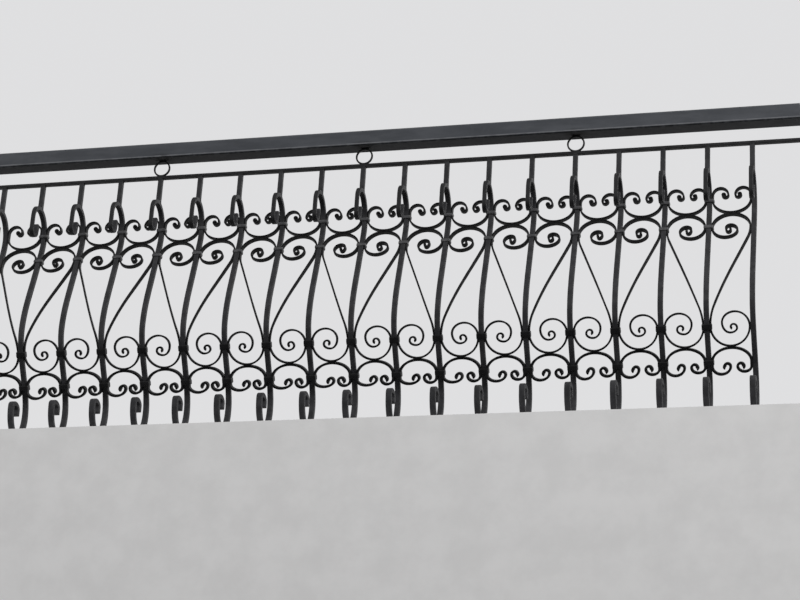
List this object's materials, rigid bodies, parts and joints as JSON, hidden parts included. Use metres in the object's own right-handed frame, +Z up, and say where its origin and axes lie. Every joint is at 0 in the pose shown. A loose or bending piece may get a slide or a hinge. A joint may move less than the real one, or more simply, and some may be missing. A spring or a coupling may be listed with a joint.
{
  "type": "iron balcony railing",
  "caption": "Bellied wrought iron balcony railing: crooked square bars with C and S scrolls, collars, flat rails and a box handrail on rings.",
  "frame": {"origin": "middle of the underside of the bottom rail, which rests on the balcony's edge", "axes": "+X along the railing, +Y into the building, +Z up"},
  "size_m": [2.62, 0.14, 0.955],
  "materials": {
    "handrail_paint": "satin slate grey paint",
    "rail_paint": "satin black paint",
    "bar_paint": "satin black paint over hammered iron",
    "scroll_paint": "satin black paint",
    "collar_paint": "satin black paint, thick in the corners"
  },
  "bodies": {
    "root": {"handrail": "handrail_paint", "top_rail": "rail_paint", "bottom_rail": "rail_paint", "ring_left": "rail_paint", "ring_middle": "rail_paint", "ring_right": "rail_paint", "stems": "bar_paint", "baluster_01": "bar_paint", "baluster_02": "bar_paint", "baluster_03": "bar_paint", "baluster_04": "bar_paint", "baluster_05": "bar_paint", "baluster_06": "bar_paint", "baluster_07": "bar_paint", "baluster_08": "bar_paint", "baluster_09": "bar_paint", "baluster_10": "bar_paint", "baluster_11": "bar_paint", "baluster_12": "bar_paint", "baluster_13": "bar_paint", "baluster_14": "bar_paint", "baluster_15": "bar_paint", "baluster_16": "bar_paint", "baluster_17": "bar_paint", "baluster_18": "bar_paint", "baluster_19": "bar_paint", "upper_c_scrolls_left": "scroll_paint", "upper_c_scrolls_right": "scroll_paint", "s_scrolls_left": "scroll_paint", "s_scrolls_right": "scroll_paint", "lower_c_scrolls_left": "scroll_paint", "lower_c_scrolls_right": "scroll_paint", "crown_collars": "collar_paint", "neck_collars": "collar_paint", "belly_collars": "collar_paint", "foot_collars": "collar_paint"}
  },
  "joints": []
}
